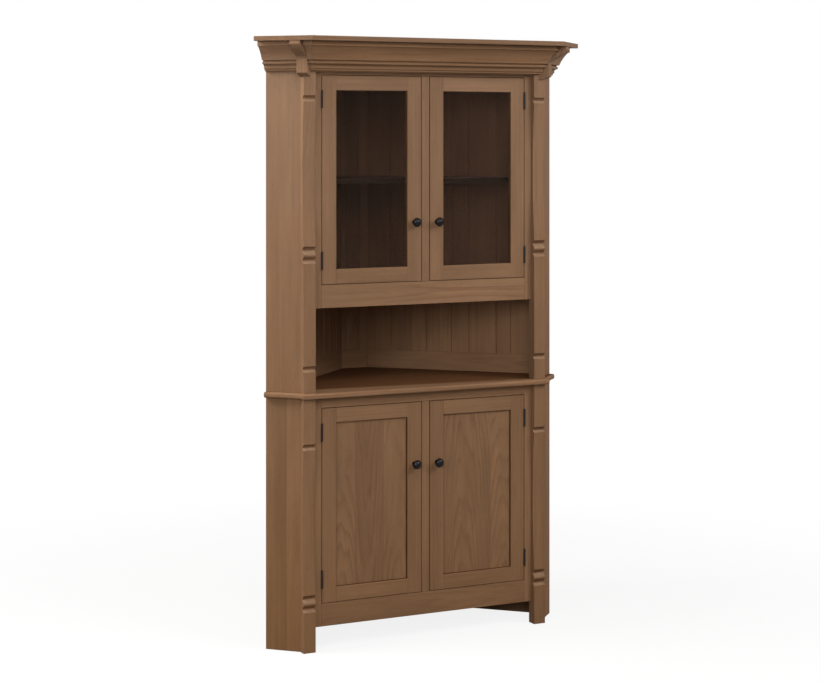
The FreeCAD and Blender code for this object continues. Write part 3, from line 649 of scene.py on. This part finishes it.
# The panes stay as they were packed, with glass on them.
for node in bodyOfNode:
    if node.endswith("_glass"):
        paneObject = frame["nodes"][node]
        if paneObject.material_slots:
            for slot in paneObject.material_slots:
                slot.material = pane
        else:
            paneObject.data.materials.append(pane)


# Turned knobs: radius and distance from the door, in millimetres.
knobLook = {
    "profile": [
        (8.5, 0.0), (8.5, 1.2), (7.9, 2.3), (6.4, 4.2), (5.7, 6.5), (5.9, 8.8), (7.6, 11.6), (10.6, 14.8),
        (13.5, 17.6), (15.3, 19.8), (15.9, 21.2), (16.0, 22.5), (15.6, 24.0), (14.4, 26.0), (12.2, 28.3),
        (9.0, 30.5), (5.2, 32.2), (2.2, 32.85),
    ],
    "tipMm": 33.0,
    "segments": 56,
    "headMm": 4.2,
    "headHeightMm": 2.2,
    "headShares": [(1.0, 0.0), (1.0, 0.35), (0.86, 0.7), (0.5, 0.95)],  # of the head's radius and height
}
# Slotted screws, sunk flush in the leaves and plates.
screwLook = {
    "radiusMm": 2.4, "slotMm": 0.7, "slotDepthMm": 0.5, "proudMm": 0.12, "sunkMm": 0.6, "segments": 28,
    "turns": (0.0, 3.1)}
# Each screw's height from the leaf's middle, and its distance from the leaf's far edge. The knuckles end
# short of the flat share of a leaf's depth.
leafLook = {"easedMm": 0.25, "screwsMm": ((-22.0, 11.5), (0.0, 7.5), (22.0, 11.5)), "flatShare": 0.6}
metalLook = {"creaseDegrees": 50.0, "hardEdgeDegrees": 35.0}
catchLook = {
    "easedMm": 0.6, "wallMm": 1.0,
    "ribSpacingMm": 4.0, "ribWidthMm": 1.6, "ribDepthMm": 2.0, "ribsStartMm": 8.0, "ribsEndMm": 6.0,
    "strikesMm": (-27.0, 27.0), "poleLiftsMm": (-3.5, 3.5),
    "poleWidthMm": 12.0, "poleHeightMm": 3.0, "poleDepthMm": 4.0, "poleEasedMm": 0.3, "proudMm": 0.15}


def finishPiece(name, shape, material, node):  # one object that rides where its node does
    bmesh.ops.recalc_face_normals(shape, faces=shape.faces)
    mesh = toMesh(name, shape)
    mesh.set_sharp_from_angle(angle=math.radians(metalLook["hardEdgeDegrees"]))
    mesh.materials.append(material)
    piece = addObject(name, mesh)
    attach(piece, bodyOfNode[node])
    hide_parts(node)


def crossAxes(axis):  # two directions square to a level axis
    across = axis.cross(directions["up"]).normalized()
    return across, across.cross(axis).normalized()


# Turns a profile of (radius, distance) pairs round an axis, closed by a point at its tip.
def addLathe(shape, profile, tip, place, axis, segments):
    across, up = crossAxes(axis)
    rings = []
    for radius, distance in profile:
        ring = []
        for i in range(segments):
            turn = 2.0 * math.pi * i / segments
            offset = across * math.cos(turn) + up * math.sin(turn)
            ring.append(shape.verts.new(place + axis * distance * mm + offset * radius * mm))
        rings.append(ring)
    for lower, upper in zip(rings, rings[1:]):
        for i in range(segments):
            j = (i + 1) % segments
            shape.faces.new([lower[i], lower[j], upper[j], upper[i]])
    shape.faces.new(list(reversed(rings[0])))
    point = shape.verts.new(place + axis * tip * mm)
    for i in range(segments):
        shape.faces.new([rings[-1][i], rings[-1][(i + 1) % segments], point])


# A slotted head: two half discs stand on a full one, with the slot between them.
def addScrew(shape, place, axis, slotTurn, look=screwLook):
    across, up = crossAxes(axis)
    radius = look["radiusMm"] * mm
    top = look["proudMm"] * mm
    floor = top - look["slotDepthMm"] * mm
    turned = [
        across * math.cos(slotTurn) + up * math.sin(slotTurn),
        up * math.cos(slotTurn) - across * math.sin(slotTurn),
    ]
    edge = math.asin(look["slotMm"] / 2.0 / look["radiusMm"])
    steps = look["segments"] // 2
    outlines = [[2.0 * math.pi * i / look["segments"] for i in range(look["segments"])]]
    for start in (edge, math.pi + edge):
        outlines.append([start + (math.pi - 2.0 * edge) * i / steps for i in range(steps + 1)])
    lows = (floor - look["sunkMm"] * mm, floor, floor)
    for outline, low, high in zip(outlines, lows, (floor, top, top)):
        rings = []
        for height in (low, high):
            rings.append([shape.verts.new(
                place + axis * height + (turned[0] * math.cos(a) + turned[1] * math.sin(a)) * radius
            ) for a in outline])
        for i in range(len(outline)):
            j = (i + 1) % len(outline)
            shape.faces.new([rings[0][i], rings[0][j], rings[1][j], rings[1][i]])
        shape.faces.new(rings[1])
        shape.faces.new(list(reversed(rings[0])))


def addBlock(shape, low, high, easedMm=0.0):
    made = bmesh.ops.create_cube(shape, size=1.0)
    size = Vector(high) - Vector(low)
    middle = (Vector(high) + Vector(low)) / 2.0
    for vertex in made["verts"]:
        vertex.co = Vector((vertex.co.x * size.x, vertex.co.y * size.y, vertex.co.z * size.z)) + middle
    if easedMm:
        edges = list({edge for vertex in made["verts"] for edge in vertex.link_edges})
        bevel(shape, edges, easedMm, 2)


def boxCorners(shape):
    places = [vertex.co for vertex in shape.verts]
    return (Vector([min(p[i] for p in places) for i in range(3)]),
            Vector([max(p[i] for p in places) for i in range(3)]))


def easeMetal(shape, easedMm):
    easeEdges(shape, easedMm, metalLook["creaseDegrees"], 1)


# A hinge leaf with its knuckles, and three screws on the face that looks into the gap.
def makeLeaf(name, shape, node, maker):
    low, high = boxCorners(shape)
    barrelX = -hingeX if low.x < 0 else hingeX
    plateSide = 1.0 if (low.x + high.x) / 2.0 > barrelX else -1.0
    plate = [v.co.x for v in shape.verts if v.co.y > low.y + leafLook["flatShare"] * (high.y - low.y)]
    gapFace = min(plate) if plateSide > 0 else max(plate)
    axis = Vector((-plateSide, 0.0, 0.0))
    middle = (low.z + high.z) / 2.0
    easeMetal(shape, leafLook["easedMm"])
    for lift, inset in leafLook["screwsMm"]:
        place = Vector((gapFace, high.y - inset * mm, middle + lift * mm))
        addScrew(shape, place, axis, maker.uniform(*screwLook["turns"]))
    finishPiece(name, shape, steel, node)


# The knob itself, and the head of the machine screw that holds it from behind.
def makeKnob(name, shape, node, doorBack, look=knobLook):
    low, high = boxCorners(shape)
    x, z = (low.x + high.x) / 2.0, (low.z + high.z) / 2.0
    knob = bmesh.new()
    addLathe(knob, look["profile"], look["tipMm"], Vector((x, high.y, z)), Vector((0, -1, 0)),
             look["segments"])
    dome = [(look["headMm"] * r, look["headHeightMm"] * d) for r, d in look["headShares"]]
    addLathe(knob, dome, look["headHeightMm"], Vector((x, doorBack, z)), Vector((0, 1, 0)),
             look["segments"] // 2)
    finishPiece(name, knob, bronze, node)


def makeStrike(name, shape, node, maker):
    low, high = boxCorners(shape)
    easeMetal(shape, leafLook["easedMm"])
    place = Vector(((low.x + high.x) / 2.0, high.y, (low.z + high.z) / 2.0))
    addScrew(shape, place, Vector((0, 1, 0)), maker.uniform(*screwLook["turns"]))
    finishPiece(name, shape, steel, node)


# The magnets' moulded housing, and two steel poles facing each strike plate.
def makeCatch(node, shape, look=catchLook):
    low, high = boxCorners(shape)
    wall = look["wallMm"] * mm
    bodyFront = min(v.co.y for v in shape.verts if v.co.x < low.x + wall)
    easeMetal(shape, look["easedMm"])
    halfRib = look["ribWidthMm"] * mm / 2.0
    place = low.x + look["ribsStartMm"] * mm
    while place < high.x - look["ribsEndMm"] * mm:
        addBlock(shape, (place - halfRib, high.y - look["ribDepthMm"] * mm, low.z),
                 (place + halfRib, high.y, high.z - wall))
        place += look["ribSpacingMm"] * mm
    finishPiece(node + ".housing", shape, plastic, node)
    poles = bmesh.new()
    halfWidth, halfHeight = look["poleWidthMm"] * mm / 2.0, look["poleHeightMm"] * mm / 2.0
    front, back = bodyFront - look["proudMm"] * mm, bodyFront + look["poleDepthMm"] * mm
    for strike in look["strikesMm"]:
        for lift in look["poleLiftsMm"]:
            x, z = strike * mm, (low.z + high.z) / 2.0 + lift * mm
            addBlock(poles, (x - halfWidth, front, z - halfHeight), (x + halfWidth, back, z + halfHeight),
                     look["poleEasedMm"])
    finishPiece(node + ".poles", poles, steel, node)


hingeX = max(joint["pos_m"][0] for joint in frame["record"]["behaviour"]["joints"])
fittingCount = 0
for node in sorted(bodyOfNode):
    if node.endswith("_catch"):
        makeCatch(node, splitSolids(node)[0])
        fittingCount += 2
    if node == "hinge_frame_leaves":
        for i, shape in enumerate(splitSolids(node)):
            makeLeaf("%s.leaf%d" % (node, i), shape, node, maker)
            fittingCount += 1
    if node.endswith("_fittings"):
        solids = splitSolids(node)
        solids.sort(key=lambda shape: boxCorners(shape)[0].y)
        knobShape = solids.pop(0)
        strikeShape = solids.pop(-1)
        doorBack = boxCorners(strikeShape)[0].y
        makeKnob(node + ".knob", knobShape, node, doorBack)
        makeStrike(node + ".strike", strikeShape, node, maker)
        for i, shape in enumerate(solids):
            makeLeaf("%s.leaf%d" % (node, i), shape, node, maker)
        fittingCount += 2 + len(solids)
print("fittings: %d" % fittingCount)


# Studio: a pale floor, a white surround that is brighter overhead, and soft lamps.
studioLook = {
    "floorColour": "#f6f5f3",
    "floorBounce": "#8c8b89",  # what the light that it throws back on the wood sees
    "floorWhitening": 0.86,  # near the cabinet, where its shadow shows
    "shadowReach": (0.9, 2.7),  # metres: the floor turns plain white between the two
    "floorHalf": 30.0,  # metres from the middle to each edge
    "surroundColour": "#ffffff",
    "level": 0.04,
    "overhead": 0.06,
    "aim": (0.0, 0.0, 1.15),
    "lamps": {
        "sideLamp": {"place": (-2.9, 0.5, 3.3), "size": 1.4, "power": 128.0},
        "leftLamp": {"place": (-4.2, -3.6, 2.3), "size": 2.0, "power": 80.0},
        "frontLamp": {"place": (-3.4, -7.6, 3.2), "size": 3.0, "power": 165.0},
        "rightLamp": {"place": (2.6, -4.6, 4.2), "size": 2.2, "power": 106.0},
        "overheadLamp": {"place": (-0.4, -2.4, 4.6), "size": 2.4, "power": 39.0},
        "rimLamp": {"place": (2.3, -2.3, 2.9), "size": 1.0, "power": 38.0},
    },
}


def addSeen(tree):  # 1 where the camera sees a surface itself, in a reflection or through the glass
    rays = addNode(tree, "ShaderNodeLightPath")
    seen = addNode(tree, "ShaderNodeMath", {"operation": "MAXIMUM"}, {
        0: rays.outputs["Is Camera Ray"], 1: rays.outputs["Is Glossy Ray"]})
    seen = addNode(tree, "ShaderNodeMath", {"operation": "MAXIMUM"}, {
        0: seen, 1: rays.outputs["Is Transmission Ray"]})
    return seen


def makeFloor(look):
    material, tree = newMaterial("paleFloor")
    white = addNode(tree, "ShaderNodeEmission", {}, {
        "Color": toLinear(look["surroundColour"]), "Strength": 1.0})
    seen = addSeen(tree)
    place = addNode(tree, "ShaderNodeTexCoord")
    away = addNode(tree, "ShaderNodeVectorMath", {"operation": "LENGTH"}, {0: place.outputs["Object"]})
    near, far = look["shadowReach"]
    whitening = addNode(tree, "ShaderNodeMapRange", {"interpolation_type": "SMOOTHSTEP"}, {
        "Value": away.outputs["Value"], "From Min": near, "From Max": far,
        "To Min": look["floorWhitening"], "To Max": 1.0})
    share = addNode(tree, "ShaderNodeMath", {"operation": "MULTIPLY"}, {
        0: seen, 1: whitening})
    paint = addNode(tree, "ShaderNodeMix", {"data_type": "RGBA"}, {
        0: seen, 6: toLinear(look["floorBounce"]), 7: toLinear(look["floorColour"])})
    matt = addNode(tree, "ShaderNodeBsdfDiffuse", {}, {"Color": paint.outputs[2]})
    mix = addNode(tree, "ShaderNodeMixShader", {}, {0: share, 1: matt, 2: white})
    addNode(tree, "ShaderNodeOutputMaterial", {}, {"Surface": mix})
    mesh = bpy.data.meshes.new("floor")
    half = look["floorHalf"]
    mesh.from_pydata(
        [(-half, -half, 0), (half, -half, 0), (half, half, 0), (-half, half, 0)], [], [(0, 1, 2, 3)])
    mesh.materials.append(material)
    floor = addObject("floor", mesh)


def makeSurround(look):
    world = bpy.data.worlds.new("surround")
    bpy.context.scene.world = world
    world.use_nodes = True
    tree = world.node_tree
    tree.nodes.clear()
    facing = addNode(tree, "ShaderNodeTexCoord")
    height = addNode(tree, "ShaderNodeSeparateXYZ", {}, {0: facing.outputs["Generated"]})
    glow = addNode(tree, "ShaderNodeMapRange", {}, {
        "Value": height.outputs["Z"], "To Min": look["level"], "To Max": look["overhead"]})
    dim = addNode(tree, "ShaderNodeBackground", {}, {
        "Color": toLinear(look["surroundColour"]), "Strength": glow})
    bright = addNode(tree, "ShaderNodeBackground", {}, {
        "Color": toLinear(look["surroundColour"]), "Strength": 1.0})
    mix = addNode(tree, "ShaderNodeMixShader", {}, {0: addSeen(tree), 1: dim, 2: bright})
    addNode(tree, "ShaderNodeOutputWorld", {}, {"Surface": mix})


def addLamp(name, look, aim):
    lamp = bpy.data.lights.new(name, "AREA")
    lamp.shape = "SQUARE"
    lamp.size = look["size"]
    lamp.energy = look["power"]
    holder = addObject(name, lamp)
    holder.location = look["place"]
    holder.rotation_euler = (Vector(aim) - Vector(look["place"])).to_track_quat("-Z", "Y").to_euler()


makeFloor(studioLook)
makeSurround(studioLook)
for lampName, lampLook in studioLook["lamps"].items():
    addLamp(lampName, lampLook, studioLook["aim"])

# The camera stands level, turned to the right, with the lens dropped to keep the uprights upright.
cameraLook = {
    "place": (-3.10645, -6.31605, 1.74931),
    "turnDegrees": -26.61,
    "focalPixels": 1956.1,
    "horizonPixel": 135.54,
    "widthPixels": 820.0,
    "heightPixels": 683.0,
    "sensorMm": 36.0,
}
lens = bpy.data.cameras.new("camera")
lens.sensor_width = cameraLook["sensorMm"]
lens.lens = cameraLook["focalPixels"] * lens.sensor_width / cameraLook["widthPixels"]
lens.shift_y = (cameraLook["horizonPixel"] - cameraLook["heightPixels"] / 2.0) / cameraLook["widthPixels"]
camera = addObject("camera", lens)
camera.location = cameraLook["place"]
camera.rotation_euler = (math.radians(90.0), 0.0, math.radians(cameraLook["turnDegrees"]))
bpy.context.scene.camera = camera
bpy.context.scene.view_settings.view_transform = "Standard"
print("studio ready")
